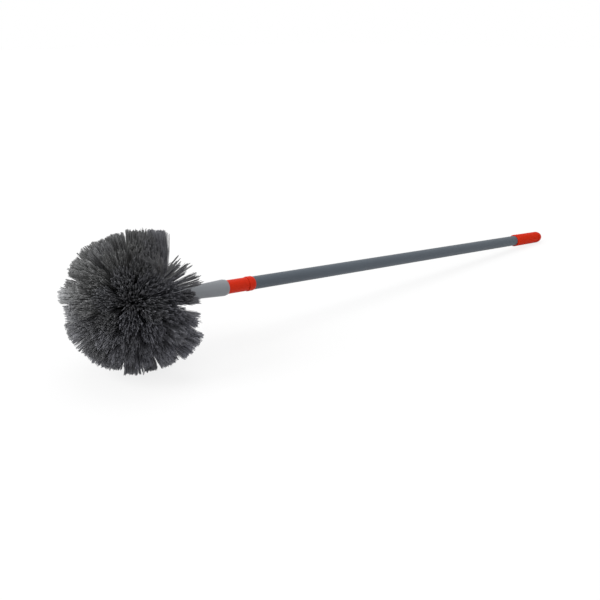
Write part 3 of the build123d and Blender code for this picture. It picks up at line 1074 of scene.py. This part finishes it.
def coat_finish(name, colour):
    """Satin powder coat on steel tube: orange-peel skin and faint marks drawn along the tube."""
    material, graph = new_material(name)
    place = along_pole(graph)
    peel = noise(graph, place, PEEL_WAVES, detail=2.0)
    marks = noise(graph, place, MARK_WAVES, detail=4.0)
    cloud = noise(graph, place, CLOUD_WAVES, detail=2.0)
    base = Vector(colour)
    clouded = graph.mix(cloud, base * (1 - CLOUD_DEPTH), base * (1 + CLOUD_DEPTH))
    shade_principled(graph, {
        "Base Color": graph.mix(marks * MARK_SHARE, clouded, base * MARK_LIGHT),
        "Roughness": graph.spread(marks, *COAT_ROUGHNESS),
        "Specular IOR Level": SATIN,
        "Normal": bump(graph, peel, PEEL_STRENGTH, PEEL_HEIGHT),
    })
    return material


# Drawn steel: waves to a metre of its marks, their levels of the colour and their roughness
STEEL_WAVES = (40.0, 2200.0, 2200.0)
STEEL_LEVELS = (0.8, 1.1)
STEEL_ROUGHNESS = (0.22, 0.4)


def steel_finish(name, colour):
    """Bright drawn steel with fine marks along the pole."""
    material, graph = new_material(name)
    marks = noise(graph, along_pole(graph), STEEL_WAVES, detail=3.0)
    darkest, palest = (Vector(colour) * level for level in STEEL_LEVELS)
    shade_principled(graph, {
        "Base Color": graph.mix(marks, darkest, palest),
        "Roughness": graph.spread(marks, *STEEL_ROUGHNESS),
        "Metallic": 1.0,
    })
    return material


def dress(names, material):
    """Gives CAD nodes a finish."""
    for name in names:
        node = frame["nodes"][name]
        node.data.materials.clear()
        node.data.materials.append(material)


class BRUSH_OT_bristles(bpy.types.Operator):
    """Grow the bristles of every tuft, with the slice of the block that carries them"""

    bl_idname = "cobweb_brush.bristles"
    bl_label = "Bristles"

    def execute(self, context):
        sizes = context.scene.brush_sizes
        colours = context.scene.brush_colours
        stage = context.scene.brush_stage
        view = view_axes(stage.azimuth, stage.elevation)
        draw = random.Random(sizes.seed)
        filament = bristle_finish(colours)
        # The slices are the block's plastic darkened by painted shade
        block = moulded_finish("block_slice_plastic", Vector(colours.socket) * SLICE_SHADE, SLICE_ROUGHNESS)
        tree = bristle_tree()
        for number, (name, (edges, places)) in enumerate(tuft_nodes().items()):
            piece = bpy.data.objects.new(
                f"{name}_bristles", tuft_base(name, edges, places, sizes, view, draw)
            )
            context.scene.collection.objects.link(piece)
            values = {key: getattr(sizes, key.lower().replace(" ", "_")) for key in SIZE_INPUTS}
            values |= {
                "Centre": BALL_CENTRE,
                "Root Reach": sizes.block_radius - SLICE_THICKNESS / 2,
                "Box Low": MODEL_LOW,
                "Box High": MODEL_HIGH,
                "Seed": sizes.seed + SEED_STEP * number,
                "Bristle Finish": filament,
                "Block Finish": block,
            }
            apply_tree(piece, tree, values)
            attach(piece, "brush_head")
            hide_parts(name)
        return {"FINISHED"}


class BRUSH_OT_block(bpy.types.Operator):
    """Finish the light grey block and socket, and the staples in it"""

    bl_idname = "cobweb_brush.block"
    bl_label = "Block and socket"

    def execute(self, context):
        colours = context.scene.brush_colours
        dress(["brush_block"], moulded_finish("block_plastic", colours.socket, BLOCK_ROUGHNESS))
        dress(["tuft_anchors"], steel_finish("staple_wire", colours.steel))
        return {"FINISHED"}


class BRUSH_OT_tubes(bpy.types.Operator):
    """Coat the two tubes of the pole"""

    bl_idname = "cobweb_brush.tubes"
    bl_label = "Tubes"

    def execute(self, context):
        colours = context.scene.brush_colours
        dress(["outer_tube", "inner_tube"], coat_finish("tube_coat", colours.coat))
        return {"FINISHED"}


class BRUSH_OT_fittings(bpy.types.Operator):
    """Finish the orange-red collar and end cap, and make the pole tip with its screw thread"""

    bl_idname = "cobweb_brush.fittings"
    bl_label = "Orange fittings"

    def execute(self, context):
        colours = context.scene.brush_colours
        orange = moulded_finish("orange_plastic", colours.orange, FITTING_ROUGHNESS, FITTING_SHINE)
        dress(["guide_collar"], orange)
        cap = moulded_finish("cap_plastic", colours.orange, CAP_ROUGHNESS, CAP_SHINE)
        dress(["end_cap"], cap)
        tip = bpy.data.objects.new("threaded_pole_tip", threaded_tip(context.scene.brush_thread))
        context.scene.collection.objects.link(tip)
        tip.data.materials.append(orange)
        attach(tip, "inner_pole")
        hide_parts("pole_tip")
        return {"FINISHED"}


class BRUSH_OT_twist_lock(bpy.types.Operator):
    """Finish the twist lock inside the tubes"""

    bl_idname = "cobweb_brush.twist_lock"
    bl_label = "Twist lock"

    def execute(self, context):
        colours = context.scene.brush_colours
        mouldings = moulded_finish("lock_plastic", colours.lock, LOCK_ROUGHNESS)
        dress(["lock_plug", "lock_sleeve", "lock_cone"], mouldings)
        dress(["lock_spindle", "spindle_nut"], steel_finish("spindle_steel", colours.steel))
        return {"FINISHED"}


# Each lamp's width and place in metres
LAMPS = {
    "key": (1.6, (-2.9, 0.7, 2.0)),
    "fill": (2.0, (0.6, -3.0, 1.8)),
    "top": (2.4, (0.2, 0.6, 3.0)),
}


def lamp(name, power, size, place, aim):
    """Square area lamp that looks at a point."""
    light = bpy.data.lights.new(name, "AREA")
    light.energy = power
    light.shape = "SQUARE"
    light.size = size
    holder = bpy.data.objects.new(name, light)
    bpy.context.scene.collection.objects.link(holder)
    holder.location = place
    holder.rotation_mode = "QUATERNION"
    holder.rotation_quaternion = (Vector(place) - aim).to_track_quat("Z", "Y")


def seen_directly(graph):
    """1 for rays that should meet the plain background: camera, glossy and transmission rays."""
    path = graph.node("ShaderNodeLightPath", None, None, "Is Camera Ray")
    both = graph.math("MAXIMUM", path, path.output("Is Glossy Ray"))
    return graph.math("MAXIMUM", both, path.output("Is Transmission Ray"))


def floor_finish(colours):
    """Pale floor that is white in the picture away from the shadow, whatever light falls there."""
    material, graph = new_material("pale_floor")
    place = graph.node("ShaderNodeTexCoord", None, None, "Object")
    away = graph.length(place - FLOOR_LIT_PLACE) / FLOOR_LIGHT_FALL
    light = FLOOR_LIGHT_FAR + (FLOOR_LIGHT_THERE - FLOOR_LIGHT_FAR) / (1.0 + away * away)
    missing = FLOOR_WHITE - FLOOR_SHOWN * light
    glow = graph.node("ShaderNodeEmission", None, {"Color": missing, "Strength": 1.0})
    shown = graph.node("ShaderNodeBsdfDiffuse", None, {"Color": Vector(ONES) * FLOOR_SHOWN})
    in_view = graph.node("ShaderNodeAddShader", None, {0: shown, 1: glow})
    lit = graph.node("ShaderNodeBsdfDiffuse", None, {"Color": tuple(colours.floor)})
    shade(graph, graph.node("ShaderNodeMixShader", None, {0: seen_directly(graph), 1: lit, 2: in_view}))
    return material


class BRUSH_OT_stage(bpy.types.Operator):
    """Set the camera, the lamps, the surroundings and the pale floor"""

    bl_idname = "cobweb_brush.stage"
    bl_label = "Stage"

    def execute(self, context):
        stage = context.scene.brush_stage
        colours = context.scene.brush_colours
        scene = context.scene
        right, up, forward = view_axes(stage.azimuth, stage.elevation)
        camera = bpy.data.objects.new("camera", bpy.data.cameras.new("camera"))
        scene.collection.objects.link(camera)
        camera.data.sensor_width = SENSOR_WIDTH
        camera.data.lens = FOCAL_PIXELS * SENSOR_WIDTH / FRAME_SIDE
        turn = Matrix((right, up, -forward)).transposed().to_4x4()
        camera.matrix_world = Matrix.Translation(stage.camera_place) @ turn
        scene.camera = camera

        aim = (MODEL_LOW + MODEL_HIGH) / 2
        for name, (size, place) in LAMPS.items():
            lamp(f"{name}_lamp", getattr(stage, f"{name}_power"), size, place, aim)

        world = bpy.data.worlds.new("surroundings")
        world.use_nodes = True
        scene.world = world
        graph = Graph(world.node_tree)
        strength = graph.spread(seen_directly(graph), stage.world_strength, 1.0)
        sky = graph.node("ShaderNodeBackground", None, {"Color": ONES, "Strength": strength})
        graph.node("ShaderNodeOutputWorld", None, {"Surface": sky})

        bm = bmesh.new()
        bmesh.ops.create_grid(bm, x_segments=1, y_segments=1, size=FLOOR_HALF)
        mesh = bpy.data.meshes.new("studio_floor")
        bm.to_mesh(mesh)
        bm.free()
        floor = bpy.data.objects.new("studio_floor", mesh)
        scene.collection.objects.link(floor)
        mesh.materials.append(floor_finish(colours))

        scene.view_settings.view_transform = "Standard"
        return {"FINISHED"}


class BRUSH_PT_panel(bpy.types.Panel):
    """The brush's makers, in the order in which they run"""

    bl_label = "Cobweb Brush"
    bl_idname = "BRUSH_PT_panel"
    bl_space_type = "VIEW_3D"
    bl_region_type = "UI"
    bl_category = "Cobweb Brush"

    def draw(self, context):
        for operator in OPERATORS:
            self.layout.operator(operator.bl_idname)
        scene = context.scene
        for group in (scene.brush_sizes, scene.brush_thread, scene.brush_colours, scene.brush_stage):
            box = self.layout.box()
            for name in group.__annotations__:
                box.prop(group, name)


OPERATORS = (
    BRUSH_OT_stage, BRUSH_OT_bristles, BRUSH_OT_block,
    BRUSH_OT_tubes, BRUSH_OT_fittings, BRUSH_OT_twist_lock,
)
CLASSES = (BrushSizes, BrushThread, BrushColours, BrushStage, *OPERATORS, BRUSH_PT_panel)


def register():
    for each in CLASSES:
        bpy.utils.register_class(each)
    bpy.types.Scene.brush_sizes = PointerProperty(type=BrushSizes)
    bpy.types.Scene.brush_thread = PointerProperty(type=BrushThread)
    bpy.types.Scene.brush_colours = PointerProperty(type=BrushColours)
    bpy.types.Scene.brush_stage = PointerProperty(type=BrushStage)


def unregister():
    del bpy.types.Scene.brush_stage
    del bpy.types.Scene.brush_colours
    del bpy.types.Scene.brush_thread
    del bpy.types.Scene.brush_sizes
    for each in reversed(CLASSES):
        bpy.utils.unregister_class(each)


def main():
    """Makes every piece in order."""
    register()
    bpy.ops.cobweb_brush.stage()
    bpy.ops.cobweb_brush.bristles()
    bpy.ops.cobweb_brush.block()
    bpy.ops.cobweb_brush.tubes()
    bpy.ops.cobweb_brush.fittings()
    bpy.ops.cobweb_brush.twist_lock()


if __name__ == "__main__":
    main()
